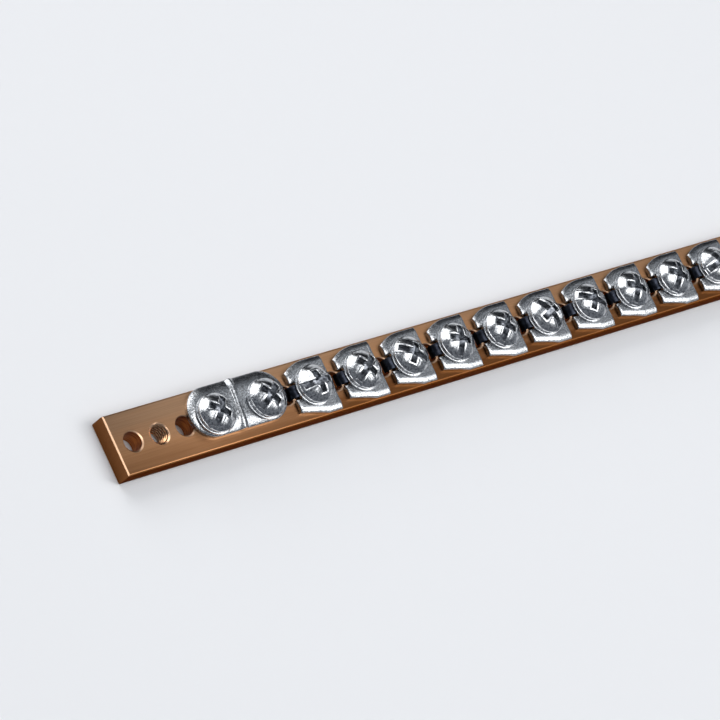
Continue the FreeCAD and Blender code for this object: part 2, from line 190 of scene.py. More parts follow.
def finished_object(name, shape, smooth_angle=35):
    """Turns a bmesh into an object with clean normals, smooth up to an angle."""
    bmesh.ops.recalc_face_normals(shape, faces=shape.faces)
    # The operators number points and faces differently at each run, so both are put in order here.
    for index, point in enumerate(sorted(shape.verts, key=lambda item: tuple(item.co))):
        point.index = index
    shape.verts.sort()
    middles = {face: tuple(face.calc_center_median()) for face in shape.faces}
    for index, face in enumerate(sorted(shape.faces, key=middles.get)):
        face.index = index
    shape.faces.sort()
    for face in shape.faces:
        face.smooth = True
    for edge in shape.edges:
        edge.smooth = edge.calc_face_angle(0) < math.radians(smooth_angle)
    mesh = bpy.data.meshes.new(name)
    shape.to_mesh(mesh)
    shape.free()
    item = bpy.data.objects.new(name, mesh)
    bpy.context.scene.collection.objects.link(item)
    return item


def linear(code):
    """The linear colour of an sRGB hex code."""
    parts = [int(code[index:index + 2], 16) / 255 for index in (1, 3, 5)]
    return tuple(((c + 0.055) / 1.055) ** 2.4 if c > 0.04045 else c / 12.92 for c in parts) + (1.0,)


def add_node(material, kind, settings=None, links=None):
    """Adds one node; settings fill its sockets or properties, links join them to other outputs."""
    node = material.node_tree.nodes.new(kind)
    for name, value in (settings or {}).items():
        if name in node.inputs:
            node.inputs[name].default_value = value
        else:
            setattr(node, name, value)
    for name, output in (links or {}).items():
        material.node_tree.links.new(output, node.inputs[name])
    return node


# Sockets of a node that mixes colours: its names for them are also those of its other kinds.
MIX_SHARE = 0
MIX_FIRST = 6
MIX_SECOND = 7
MIX_COLOR = 2


def new_material(name, base_code, metallic, roughness):
    """A material with its shader set to plain values, to which patterns are then linked."""
    material = bpy.data.materials.new(name)
    material.use_nodes = True
    shader = material.node_tree.nodes["Principled BSDF"]
    shader.inputs["Base Color"].default_value = linear(base_code)
    shader.inputs["Metallic"].default_value = metallic
    shader.inputs["Roughness"].default_value = roughness
    return material, shader


def ramp(material, source, *stops):
    """A colour that runs through the given codes, each at its own value of a pattern."""
    node = add_node(material, "ShaderNodeValToRGB", links={"Fac": source})
    steps = node.color_ramp.elements
    while len(steps) < len(stops):
        steps.new(0.5)
    for step, (position, code) in zip(steps, stops):
        step.position = position
        step.color = linear(code)
    return node.outputs["Color"]


def drawn_copper():
    """Cold drawn copper: satin, in fine bright and dark lines along the bar, painted lighter towards
    its back edge and ends as a painted sheen, and painted brown below its faces as painted shade.
    """
    material, shader = new_material("drawn_copper", "#C58A62", 1.0, 0.34)
    shader.inputs["Specular Tint"].default_value = linear("#CFA584")
    link = material.node_tree.links.new
    place = add_node(material, "ShaderNodeTexCoord").outputs["Object"]
    axes = add_node(material, "ShaderNodeSeparateXYZ", links={"Vector": place})
    line_width = 0.16 * MM
    line_length = 16 * MM
    stretch = add_node(material, "ShaderNodeMapping",
                       {"Scale": (1 / line_length, 1 / line_width, 1 / line_width)},
                       {"Vector": place})
    lines = add_node(material, "ShaderNodeTexNoise", {"Scale": 1.0, "Detail": 3.0, "Roughness": 0.6},
                     {"Vector": stretch.outputs["Vector"]})
    # The die leaves broader bands; on top of them the face is painted lighter and greyer towards its
    # back edge and towards its ends, a painted sheen of the light it mirrors there.
    band_width = 2.6 * MM
    band_length = 60 * MM
    broad = add_node(material, "ShaderNodeMapping",
                     {"Scale": (1 / band_length, 1 / band_width, 1 / band_width)}, {"Vector": place})
    bands = add_node(material, "ShaderNodeTexNoise", {"Scale": 1.0, "Detail": 2.0},
                     {"Vector": broad.outputs["Vector"]})
    painted_sheen_back = add_node(material, "ShaderNodeMapRange",
                            {"From Min": BAR_LOW.y, "From Max": BAR_HIGH.y,
                             "To Min": -0.4, "To Max": 0.5}, {"Value": axes.outputs["Y"]})
    from_middle = add_node(material, "ShaderNodeMath", {"operation": "ABSOLUTE"})
    link(axes.outputs["X"], from_middle.inputs[0])
    grey_from_end = 85 * MM
    greyest_from_end = 20 * MM
    painted_sheen_ends = add_node(material, "ShaderNodeMapRange",
                           {"From Min": BAR_HIGH.x - grey_from_end,
                            "From Max": BAR_HIGH.x - greyest_from_end,
                            "To Min": 0.0, "To Max": 0.38}, {"Value": from_middle.outputs["Value"]})
    both = add_node(material, "ShaderNodeMath", {"operation": "ADD"})
    link(painted_sheen_back.outputs["Result"], both.inputs[0])
    link(painted_sheen_ends.outputs["Result"], both.inputs[1])
    bands_and_sheen = add_node(material, "ShaderNodeMath", {"operation": "MULTIPLY_ADD"})
    link(bands.outputs["Fac"], bands_and_sheen.inputs[0])
    bands_and_sheen.inputs[1].default_value = 0.5
    link(both.outputs["Value"], bands_and_sheen.inputs[2])
    face = ramp(material, bands_and_sheen.outputs["Value"],
                (0.0, "#82532F"), (0.5, "#D29C70"), (1.0, "#C59D7B"))
    tint = add_node(material, "ShaderNodeMix", {"data_type": "RGBA", "blend_type": "MULTIPLY"})
    tint.inputs[MIX_SHARE].default_value = 1.0
    link(face, tint.inputs[MIX_FIRST])
    marks = ramp(material, lines.outputs["Fac"], (0.3, "#ECE9E6"), (0.7, "#FFFFFF"))
    link(marks, tint.inputs[MIX_SECOND])
    # The face is darker towards its bare ends.
    bare_end = 28 * MM
    end_darkening = add_node(material, "ShaderNodeMapRange",
                       {"From Min": BAR_HIGH.x - bare_end, "From Max": BAR_HIGH.x,
                        "To Min": 1.0, "To Max": 0.58}, {"Value": from_middle.outputs["Value"]})
    with_dark_ends = add_node(material, "ShaderNodeMix", {"data_type": "RGBA", "blend_type": "MULTIPLY"})
    with_dark_ends.inputs[MIX_SHARE].default_value = 1.0
    link(tint.outputs[MIX_COLOR], with_dark_ends.inputs[MIX_FIRST])
    link(end_darkening.outputs["Result"], with_dark_ends.inputs[MIX_SECOND])
    # Below the two faces, on the sawn ends, the copper is painted a darker brown: painted shade, as on
    # the sides.
    depth = add_node(material, "ShaderNodeMath", {"operation": "PINGPONG"})
    link(axes.outputs["Z"], depth.inputs[0])
    depth.inputs[1].default_value = BAR_TOP / 2
    brown_starts = 0.3 * MM
    brown_full = 0.42 * MM
    inside = add_node(material, "ShaderNodeMapRange",
                      {"From Min": brown_starts, "From Max": brown_full},
                      {"Value": depth.outputs["Value"]})
    below_faces_shade = add_node(material, "ShaderNodeMix", {"data_type": "RGBA"})
    link(inside.outputs["Result"], below_faces_shade.inputs[MIX_SHARE])
    link(with_dark_ends.outputs[MIX_COLOR], below_faces_shade.inputs[MIX_FIRST])
    brown = ramp(material, lines.outputs["Fac"], (0.3, "#6C452B"), (0.7, "#84583A"))
    link(brown, below_faces_shade.inputs[MIX_SECOND])
    link(below_faces_shade.outputs[MIX_COLOR], shader.inputs["Base Color"])
    gloss = add_node(material, "ShaderNodeMapRange", {"To Min": 0.28, "To Max": 0.42},
                     {"Value": lines.outputs["Fac"]})
    link(gloss.outputs["Result"], shader.inputs["Roughness"])
    bump = add_node(material, "ShaderNodeBump", {"Strength": 0.12, "Distance": 0.01 * MM},
                    {"Height": lines.outputs["Fac"]})
    link(bump.outputs["Normal"], shader.inputs["Normal"])
    return material


def cut_copper():
    """Copper cut by the tap, painted pale in the mouth and on the crests as painted highlights, and
    painted nearly black between the crests as painted shade.
    """
    material, shader = new_material("tapped_copper", "#E0AC84", 1.0, 0.26)
    link = material.node_tree.links.new
    place = add_node(material, "ShaderNodeTexCoord").outputs["Object"]
    axes = add_node(material, "ShaderNodeSeparateXYZ", links={"Vector": place})
    from_middle = add_node(material, "ShaderNodeMath", {"operation": "ABSOLUTE"})
    link(axes.outputs["X"], from_middle.inputs[0])
    from_axis = add_node(material, "ShaderNodeMath", {"operation": "SUBTRACT"})
    link(from_middle.outputs["Value"], from_axis.inputs[0])
    from_axis.inputs[1].default_value = hole_x(FREE_TAPPED[1])
    flat = add_node(material, "ShaderNodeCombineXYZ",
                    links={"X": from_axis.outputs["Value"], "Y": axes.outputs["Y"]})
    radius = add_node(material, "ShaderNodeVectorMath", {"operation": "LENGTH"},
                      {"Vector": flat.outputs["Vector"]})
    share = add_node(material, "ShaderNodeMapRange",
                     {"From Min": THREAD_CREST, "From Max": MOUTH_RADIUS},
                     {"Value": radius.outputs["Value"]})
    # Painted highlight on the crests, painted shade down in the thread's roots.
    cut = ramp(material, share.outputs["Result"],
               (0.1, "#F0C096"), (0.3, "#8A5A38"), (0.5, "#1C0E06"))
    depth = add_node(material, "ShaderNodeMath", {"operation": "PINGPONG"})
    link(axes.outputs["Z"], depth.inputs[0])
    depth.inputs[1].default_value = BAR_TOP / 2
    mouth_ends = 0.26 * MM
    thread_starts = 0.34 * MM
    below_mouth = add_node(material, "ShaderNodeMapRange",
                           {"From Min": mouth_ends, "From Max": thread_starts},
                           {"Value": depth.outputs["Value"]})
    # The mouth is painted pale, a painted highlight.
    skin = add_node(material, "ShaderNodeMix", {"data_type": "RGBA"})
    link(below_mouth.outputs["Result"], skin.inputs[MIX_SHARE])
    skin.inputs[MIX_FIRST].default_value = linear("#DDB492")
    link(cut, skin.inputs[MIX_SECOND])
    link(skin.outputs[MIX_COLOR], shader.inputs["Base Color"])
    tear_size = 0.3 * MM
    tears = add_node(material, "ShaderNodeTexNoise", {"Scale": 1 / tear_size, "Detail": 2.0},
                     {"Vector": place})
    bump = add_node(material, "ShaderNodeBump", {"Strength": 0.3, "Distance": 0.01 * MM},
                    {"Height": tears.outputs["Fac"]})
    link(bump.outputs["Normal"], shader.inputs["Normal"])
    return material


def filed_copper_painted_highlight():
    """Bare copper where the sharp edges were broken, smoothly scraped; its pale colour is partly the
    bare metal and partly a painted highlight.
    """
    material, shader = new_material("filed_copper_painted_highlight", "#DDB492", 1.0, 0.3)
    place = add_node(material, "ShaderNodeTexCoord").outputs["Object"]
    scratch_size = 0.25 * MM
    scratches = add_node(material, "ShaderNodeTexNoise", {"Scale": 1 / scratch_size, "Detail": 2.0},
                         {"Vector": place})
    worn = add_node(material, "ShaderNodeMapRange", {"To Min": 0.22, "To Max": 0.42},
                    {"Value": scratches.outputs["Fac"]})
    material.node_tree.links.new(worn.outputs["Result"], shader.inputs["Roughness"])
    return material


def drilled_copper():
    """The walls of the drilled holes: cut dry, so they are orange brown and ringed by the drill."""
    material, shader = new_material("drilled_copper", "#9A562C", 1.0, 0.4)
    place = add_node(material, "ShaderNodeTexCoord").outputs["Object"]
    ring_height = 0.3 * MM
    ring_length = 3 * MM
    stretch = add_node(material, "ShaderNodeMapping",
                       {"Scale": (1 / ring_length, 1 / ring_length, 1 / ring_height)},
                       {"Vector": place})
    rings = add_node(material, "ShaderNodeTexNoise", {"Scale": 1.0, "Detail": 2.0},
                     {"Vector": stretch.outputs["Vector"]})
    skin = ramp(material, rings.outputs["Fac"], (0.35, "#86481E"), (0.65, "#B57038"))
    material.node_tree.links.new(skin, shader.inputs["Base Color"])
    bump = add_node(material, "ShaderNodeBump", {"Strength": 0.4, "Distance": 0.02 * MM},
                    {"Height": rings.outputs["Fac"]})
    material.node_tree.links.new(bump.outputs["Normal"], shader.inputs["Normal"])
    return material


def painted_shade_side():
    """The bar's long sides, left as they came from the die and painted a dull, deep brown: painted
    shade of the dark surroundings they mirror.
    """
    material, shader = new_material("copper_side_painted_shade", "#664426", 1.0, 0.42)
    shader.inputs["Specular Tint"].default_value = linear("#A5825C")
    place = add_node(material, "ShaderNodeTexCoord").outputs["Object"]
    streak_width = 0.3 * MM
    streak_length = 16 * MM
    stretch = add_node(material, "ShaderNodeMapping",
                       {"Scale": (1 / streak_length, 1 / streak_width, 1 / streak_width)},
                       {"Vector": place})
    streaks = add_node(material, "ShaderNodeTexNoise", {"Scale": 1.0, "Detail": 3.0},
                       {"Vector": stretch.outputs["Vector"]})
    skin = ramp(material, streaks.outputs["Fac"], (0.3, "#583A1E"), (0.7, "#775231"))
    material.node_tree.links.new(skin, shader.inputs["Base Color"])
    return material


bar_shape = bmesh.new()
for hole in range(HOLES):
    if hole % 2 == 0:
        kind = "plain"
    elif hole in FREE_TAPPED:
        kind = "threaded"
    else:
        kind = "tapped"
    add_hole(bar_shape, hole, kind)
close_sides(bar_shape)
for face in bar_shape.faces:
    middle = face.calc_center_median()
    from_thread = min(math.hypot(middle.x - hole_x(number), middle.y) for number in FREE_TAPPED)
    from_face = min(middle.z, BAR_TOP - middle.z)
    if from_thread < MOUTH_RADIUS and from_face > 0:
        face.material_index = THREAD_SURFACE
    elif 0 < from_face < CUT_DEPTH and abs(middle.y) < BAR_HIGH.y - EDGE_BREAK:
        face.material_index = EDGE_SURFACE
    elif from_face > 0 and abs(middle.x) < BAR_HIGH.x - EDGE_BREAK and abs(middle.y) < MOUTH_RADIUS:
        face.material_index = HOLE_SURFACE
    elif abs(middle.y) > BAR_HIGH.y - SIDE_MARGIN:
        face.material_index = SIDE_SURFACE
copper_bar = finished_object("copper_bar", bar_shape, smooth_angle=12)
copper_bar.data.materials.append(drawn_copper())
copper_bar.data.materials.append(cut_copper())
copper_bar.data.materials.append(filed_copper_painted_highlight())
copper_bar.data.materials.append(drilled_copper())
copper_bar.data.materials.append(painted_shade_side())
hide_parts("grounding_bar")
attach(copper_bar, "root")


# Twin clamp plate
# One long plate of pressed steel under the first two screws, crowned towards its rim, with a rib
# across its middle that keeps the two wires apart. It is barrel plated with matt zinc.
TWIN_STRAIGHT = 8.0 * MM
TWIN_RADIUS = 6.2 * MM
TWIN_OFFSET = 1.2 * MM
TWIN_ALONG = 0.6 * MM
TWIN_SHEET = 1.3 * MM
SHEET_RISE = 2.0 * MM
TWIN_POINTS = 100
TWIN_MIDDLE = 4
# Its screws, in mm from its middle
TWIN_SCREWS = (-7.5, 7.5)
# The steps of the grid that lets it bend, along and across, in mm
TWIN_GRID = (0.8, 0.45)
PLATE_HOLE = 2.65 * MM
PLATE_HOLE_POINTS = 40
CROWN_DROP = 0.95 * MM
CROWN_REACH = 3.6 * MM
CROWN_CURVE = 2.4
SHEET_ROUND = 0.18 * MM
# A quarter circle in three steps: how far each goes inwards and up, as shares of its radius
QUARTER_ROUND = ((0.134, 0.5), (0.366, 0.366), (0.5, 0.134))
RIB_SKEW = math.tan(math.radians(7))
# The rib's height and half width in mm, in its middle and at its ends
RIB_MIDDLE = (0.36, 0.8)
RIB_END = (0.66, 1.5)
# Planes along the rib that give it its curve: how many on each side, and their distance in mm
RIB_CUTS = 12
RIB_STEP = 0.125


def cut_grid(shape, step_x, step_y, half_x, half_y):
    """Divides the shape by planes across and along it."""
    for normal, step, half in (((1, 0, 0), step_x, half_x), ((0, 1, 0), step_y, half_y)):
        for count in range(1, int(2 * half / step)):
            parts = shape.verts[:] + shape.edges[:] + shape.faces[:]
            place = Vector(normal) * (count * step - half)
            bmesh.ops.bisect_plane(shape, geom=parts, plane_co=place, plane_no=normal)


def pressed_sheet(shape, outline, holes, thickness):
    """A flat sheet from its outline's edges, pierced by its screw holes, with a rounded top edge."""
    rims = list(outline)
    for x in holes:
        made = bmesh.ops.create_circle(shape, segments=PLATE_HOLE_POINTS, radius=PLATE_HOLE)["verts"]
        bmesh.ops.translate(shape, verts=made, vec=(x * MM, 0, 0))
        rims += ring_edges(made)
    bmesh.ops.triangle_fill(shape, edges=rims, use_beauty=True)
    bmesh.ops.recalc_face_normals(shape, faces=shape.faces)
    if shape.faces[:][0].normal.z > 0:
        bmesh.ops.reverse_faces(shape, faces=shape.faces)
    top = bmesh.ops.extrude_face_region(shape, geom=shape.faces[:])["geom"]
    raised = [item for item in top if isinstance(item, bmesh.types.BMVert)]
    bmesh.ops.translate(shape, verts=raised, vec=(0, 0, thickness - SHEET_ROUND))
    faces = [item for item in top if isinstance(item, bmesh.types.BMFace)]
    bmesh.ops.recalc_face_normals(shape, faces=shape.faces)
    for width, rise in QUARTER_ROUND:
        bmesh.ops.inset_region(shape, faces=faces, thickness=width * SHEET_ROUND,
                               depth=rise * SHEET_ROUND, use_even_offset=True, use_boundary=True)


def twin_sink(x, y):
    """How far the twin plate's surface lies below its flat middle, without its rib."""
    beyond = max(abs(x) - TWIN_STRAIGHT, 0)
    inward = TWIN_RADIUS - math.hypot(beyond, y)
    share = min(max(1 - inward / CROWN_REACH, 0), 1)
    return CROWN_DROP * share ** CROWN_CURVE


def rib_rise(x, y):
    """The rib's height: low and narrow in the middle, high and wide at the plate's two edges."""
    outward = min(abs(y) / TWIN_RADIUS, 1) ** 2
    height = RIB_MIDDLE[0] + (RIB_END[0] - RIB_MIDDLE[0]) * outward
    half = RIB_MIDDLE[1] + (RIB_END[1] - RIB_MIDDLE[1]) * outward
    across = abs(x - y * RIB_SKEW) / MM / half
    return height * MM * (0.5 + 0.5 * math.cos(math.pi * across)) if across < 1 else 0.0


def plated_sheet():
    """Zinc plated sheet steel, barrel plated after pressing: pale grey with a sandy grain."""
    material, shader = new_material("zinc_plated_sheet", "#C4C6C9", 1.0, 0.3)
    link = material.node_tree.links.new
    place = add_node(material, "ShaderNodeTexCoord").outputs["Object"]
    grain_size = 0.36 * MM
    grain = add_node(material, "ShaderNodeTexNoise",
                     {"Scale": 1 / grain_size, "Detail": 2.0, "Roughness": 0.7}, {"Vector": place})
    patch_size = 3.5 * MM
    patches = add_node(material, "ShaderNodeTexNoise", {"Scale": 1 / patch_size, "Detail": 3.0},
                       {"Vector": place})
    tint = add_node(material, "ShaderNodeMix", {"data_type": "RGBA", "blend_type": "MULTIPLY"})
    tint.inputs[MIX_SHARE].default_value = 1.0
    cloud = ramp(material, patches.outputs["Fac"], (0.3, "#C2C5C9"), (0.7, "#DDDFE1"))
    link(cloud, tint.inputs[MIX_FIRST])
    sand = ramp(material, grain.outputs["Fac"], (0.32, "#9A9A9A"), (0.62, "#FFFFFF"))
    link(sand, tint.inputs[MIX_SECOND])
    link(tint.outputs[MIX_COLOR], shader.inputs["Base Color"])
    gloss = add_node(material, "ShaderNodeMapRange", {"To Min": 0.18, "To Max": 0.3},
                     {"Value": patches.outputs["Fac"]})
    link(gloss.outputs["Result"], shader.inputs["Roughness"])
    bump = add_node(material, "ShaderNodeBump", {"Strength": 1.0, "Distance": 0.05 * MM},
                    {"Height": grain.outputs["Fac"]})
    link(bump.outputs["Normal"], shader.inputs["Normal"])
    return material


twin_shape = bmesh.new()
twin_rim = bmesh.ops.create_circle(twin_shape, segments=TWIN_POINTS, radius=TWIN_RADIUS)["verts"]
half_step = Matrix.Rotation(math.pi / TWIN_POINTS, 3, "Z")
bmesh.ops.rotate(twin_shape, verts=twin_rim, cent=(0, 0, 0), matrix=half_step)
for point in twin_rim:
    point.co.x += math.copysign(TWIN_STRAIGHT, point.co.x)
bmesh.ops.translate(twin_shape, verts=twin_rim, vec=(TWIN_ALONG, TWIN_OFFSET, 0))
pressed_sheet(twin_shape, ring_edges(twin_rim), TWIN_SCREWS, TWIN_SHEET)
cut_grid(twin_shape, TWIN_GRID[0] * MM, TWIN_GRID[1] * MM, TWIN_STRAIGHT + TWIN_RADIUS,
         TWIN_RADIUS + TWIN_OFFSET)
for count in range(-RIB_CUTS, RIB_CUTS + 1):
    parts = twin_shape.verts[:] + twin_shape.edges[:] + twin_shape.faces[:]
    bmesh.ops.bisect_plane(twin_shape, geom=parts, plane_co=(count * RIB_STEP * MM, TWIN_OFFSET, 0),
                           plane_no=(1, -RIB_SKEW, 0))
for point in twin_shape.verts:
    x, y = point.co.x, point.co.y - TWIN_OFFSET
    lowest = TWIN_SHEET - SHEET_RISE
    point.co.z = max(point.co.z + rib_rise(x, y) - twin_sink(x - TWIN_ALONG, y), lowest)
sheet_bottom = BAR_TOP + SHEET_RISE - TWIN_SHEET
bmesh.ops.translate(twin_shape, verts=twin_shape.verts, vec=(hole_x(TWIN_MIDDLE), 0, sheet_bottom))
twin_plate = finished_object("twin_plate", twin_shape)
plate_material = plated_sheet()
twin_plate.data.materials.append(plate_material)
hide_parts("twin_clamp_plate")
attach(twin_plate, "root")


# Notched clamp plates
# Each screw has its own pressed plate: the long edges are turned down to grip the wires, and a tab
# in the notch is bent down into the plain hole beside the screw, so that the plate can't turn.
# Sizes in mm, with places from the screw's axis
PLATE_RIGHT = 5.75
PLATE_LEFT = -5.95
PLATE_FRONT = -7.0
PLATE_BACK = 6.85
FRONT_LEFT = -5.25
BACK_LEFT = 4.9
BEND_START = 2.0
BACK_SAG = 0.65
NOTCH_HALF = 2.1
NOTCH_END = -4.3
TAB_HALF = 1.55
TAB_LENGTH = 3.9
TAB_BEND = 2.4
TAB_SHADE_START = 0.5
PLATE_SHEET = 1.0
LIP_DROP = 0.42
LIP_WIDTH = 1.05
ROLL_DROP = 0.24
ROLL_WIDTH = 1.1
END_DROP = 0.16
END_WIDTH = 0.8
# The grid that lets the plate bend: its steps and its half size, along and across
PLATE_GRID = (0.55, 0.4)
PLATE_GRID_HALF = (8.0, 7.0)
# How far past the tab's sides a point may lie and still bend with it
TAB_MARGIN = 0.001
# How many straight pieces make the curved back edge
BACK_PIECES = 8
# The tab's painted shade, by the order in which the plate's materials are added
TAB_SURFACE = 1


def back_edge(share):
    """A point of the curved back edge, from its start to the plate's left end."""
    chord = Vector((PLATE_LEFT - BEND_START, BACK_LEFT - PLATE_BACK))
    outward = Vector((chord.y, -chord.x)).normalized()
    straight = Vector((BEND_START, PLATE_BACK)) + chord * share
    return straight + outward * BACK_SAG * 4 * share * (1 - share)


def lip_sink(x, y):
    """How far the turned-down front and back edges lie below the flat middle, all in mm."""
    share = min(max((BEND_START - x) / (BEND_START - PLATE_LEFT), 0), 1)
    front = y - (PLATE_FRONT + (FRONT_LEFT - PLATE_FRONT) * share)
    back = back_edge(share).y - y
    nearest = max(min(front, back), 0)
    return LIP_DROP * (1 - nearest / LIP_WIDTH) if nearest < LIP_WIDTH else 0.0


def roll_sink(x, y):
    """How far the punched edges are rolled down beside the notch and at the left end, in mm."""
    beside = max(abs(y) - NOTCH_HALF, 0)
    fade = min(max((NOTCH_END + ROLL_WIDTH - x) / ROLL_WIDTH, 0), 1)
    sink = 0.0
    if abs(y) >= NOTCH_HALF and beside < ROLL_WIDTH:
        sink += ROLL_DROP * fade * (1 - beside / ROLL_WIDTH) ** 2
    inward = x - PLATE_LEFT
    if abs(y) >= NOTCH_HALF and inward < END_WIDTH:
        sink += END_DROP * (1 - inward / END_WIDTH) ** 2
    return sink


def painted_shade_tab():
    """The tab's steel past its bend, smooth, painted dark and bluish: painted shade where it dips into
    the hole beside the head.
    """
    material, shader = new_material("tab_painted_shade", "#343842", 1.0, 0.3)
    place = add_node(material, "ShaderNodeTexCoord").outputs["Object"]
    stain_size = 1.2 * MM
    stain = add_node(material, "ShaderNodeTexNoise", {"Scale": 1 / stain_size, "Detail": 3.0},
                     {"Vector": place})
    skin = ramp(material, stain.outputs["Fac"], (0.35, "#1B1E25"), (0.65, "#373B45"))
    material.node_tree.links.new(skin, shader.inputs["Base Color"])
    return material


corners = [(PLATE_RIGHT, PLATE_FRONT), (PLATE_RIGHT, PLATE_BACK), (BEND_START, PLATE_BACK)]
corners += [tuple(back_edge(step / BACK_PIECES)) for step in range(1, BACK_PIECES)]
corners += [
    (PLATE_LEFT, BACK_LEFT), (PLATE_LEFT, NOTCH_HALF), (NOTCH_END, NOTCH_HALF), (NOTCH_END, TAB_HALF),
    (NOTCH_END - TAB_LENGTH, TAB_HALF), (NOTCH_END - TAB_LENGTH, -TAB_HALF), (NOTCH_END, -TAB_HALF),
    (NOTCH_END, -NOTCH_HALF), (PLATE_LEFT, -NOTCH_HALF), (PLATE_LEFT, FRONT_LEFT),
    (BEND_START, PLATE_FRONT),
]
plate_shape = bmesh.new()
points = [plate_shape.verts.new((x * MM, y * MM, 0)) for x, y in corners]
rim = [plate_shape.edges.new((point, points[index - 1])) for index, point in enumerate(points)]
pressed_sheet(plate_shape, rim, (0,), PLATE_SHEET * MM)
cut_grid(plate_shape, PLATE_GRID[0] * MM, PLATE_GRID[1] * MM, PLATE_GRID_HALF[0] * MM,
         PLATE_GRID_HALF[1] * MM)
for point in plate_shape.verts:
    x, y = point.co.x / MM, point.co.y / MM
    below_top = PLATE_SHEET - point.co.z / MM
    if x < NOTCH_END and abs(y) <= TAB_HALF + TAB_MARGIN:
        along = NOTCH_END - x
        angle = min(along / TAB_BEND, math.pi / 2)
        further = along - angle * TAB_BEND
        radius = TAB_BEND - below_top
        point.co.x = (NOTCH_END - radius * math.sin(angle)) * MM
        point.co.z = (PLATE_SHEET - TAB_BEND + radius * math.cos(angle) - further) * MM
    else:
        point.co.z -= (lip_sink(x, y) + roll_sink(x, y)) * MM
for face in plate_shape.faces:
    middle = face.calc_center_median()
    if middle.x < (NOTCH_END - TAB_SHADE_START) * MM and abs(middle.y) < TAB_HALF * MM:
        face.material_index = TAB_SURFACE
pattern_plate = finished_object("pattern_plate", plate_shape)
pattern_plate.data.materials.append(plate_material)
pattern_plate.data.materials.append(painted_shade_tab())


def placed_copy(pattern, name, place):
    """A copy of a piece whose place is in its own mesh."""
    mesh = pattern.data.copy()
    mesh.name = name
    mesh.transform(place)
    item = bpy.data.objects.new(name, mesh)
    bpy.context.scene.collection.objects.link(item)
    return item


plate_nodes = sorted(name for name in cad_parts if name.startswith("clamp_plate"))
for index, node_name in enumerate(plate_nodes):
    node_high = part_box(node_name)[1]
    screw_x = node_high.x - PLATE_RIGHT * MM
    place = Matrix.Translation((screw_x, 0, node_high.z - PLATE_SHEET * MM))
    plate = placed_copy(pattern_plate, f"notched_plate_{index + 1:02d}", place)
    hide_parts(node_name)
    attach(plate, "root")
bpy.data.objects.remove(pattern_plate)


# Terminal screws
# M5 pan head screws of steel with a slot and a cross recess, cold headed and bright plated. Each
# stands at its own turn, as it stopped when it was driven.
# The first screws' turns in degrees from the bar's length, and the step for those after them
SCREW_TURNS = [50, 33, 3, 35, -38, 63, 51, -68, -33, 59, 55]
TURN_STEP = 67
HEAD_HEIGHT = 3.66 * MM
DOME_RADIUS = 6.41 * MM
DOME_REACH = 4.72 * MM
RIM_POINTS = 96
SLOT_HALF = 0.72 * MM
SLOT_REACH = 4.05 * MM
CROSS_REACH = 2.8 * MM
CORNER_CUT = 1.15 * MM
SLOT_FLOOR = 1.3 * MM
CROSS_END_FLOOR = 1.7 * MM
POINT_FLOOR = 0.8 * MM
POINT_RADIUS = 1.5 * MM
EDGE_ROUND = 0.22 * MM
EDGE_BURR = 0.08 * MM
EDGE_BURR_REACH = 0.4 * MM
WALL_LEAN = 0.12 * MM
# Planes across the dome that give it its curve: how many on each side, and their distance
DOME_CUTS = 9
DOME_STEP = 0.5 * MM
DIAGONAL = math.sqrt(0.5)
# How far inside its outline the recess's painted shade starts, as a share of its walls' lean
RECESS_START = 0.2
# That painted shade, by the order in which the screw's materials are added
RECESS_SURFACE = 1
# Below the head, in mm
SHANK_LENGTH = 6.0
# The head's side from its shoulder down to a thin bead, and the shank: radius and height in mm.
SIDE_PROFILE = [
    (4.83, 1.54), (4.9, 1.4), (4.9, 1.27), (4.82, 1.12), (4.55, 0.9), (4.42, 0.74), (4.46, 0.6),
    (4.78, 0.52), (4.92, 0.46), (5.0, 0.32), (4.98, 0.14), (4.88, 0.04), (4.7, 0.0), (2.2, 0.0),
    (2.05, -0.15), (2.05, -5.6), (1.65, -SHANK_LENGTH),
]


def dome_height(radius):
    """The height of the plain dome at a distance from the screw's axis."""
    return HEAD_HEIGHT - DOME_RADIUS + math.sqrt(DOME_RADIUS ** 2 - radius ** 2)


def recess_distance(x, y):
    """How far a point lies outside the slot and cross; inside it is negative."""
    slot = max(abs(x) - SLOT_REACH, abs(y) - SLOT_HALF)
    cross = max(abs(y) - CROSS_REACH, abs(x) - SLOT_HALF)
    corners = (abs(x) + abs(y)) / math.sqrt(2) - CORNER_CUT
    return min(slot, cross, corners)


def head_height(x, y):
    """The height of the head's top, with its recess and the recess's rounded edge."""
    radius = math.hypot(x, y)
    skin = dome_height(radius)
    gap = recess_distance(x, y)
    if gap >= EDGE_ROUND:
        further = (gap - EDGE_ROUND) / EDGE_BURR_REACH
        return skin + (EDGE_BURR * math.sin(math.pi * further) ** 2 if further < 1 else 0.0)
    if gap >= 0:
        return skin - EDGE_ROUND * (1 - math.sqrt(1 - (1 - gap / EDGE_ROUND) ** 2))
    floor = SLOT_FLOOR
    if abs(y) > SLOT_HALF:
        floor = SLOT_FLOOR + (CROSS_END_FLOOR - SLOT_FLOOR) * min(abs(y) / CROSS_REACH, 1)
    floor = min(floor, POINT_FLOOR + (SLOT_FLOOR - POINT_FLOOR) * radius / POINT_RADIUS)
    lip = skin - EDGE_ROUND
    return lip + (min(floor, lip) - lip) * min(-gap / WALL_LEAN, 1)


def cut_across(shape, normal, distance):
    """Divides the shape by a plane on each side of the axis."""
    for side in (-1, 1):
        parts = shape.verts[:] + shape.edges[:] + shape.faces[:]
        place = Vector(normal) * distance * side
        bmesh.ops.bisect_plane(shape, geom=parts, plane_co=place, plane_no=normal)


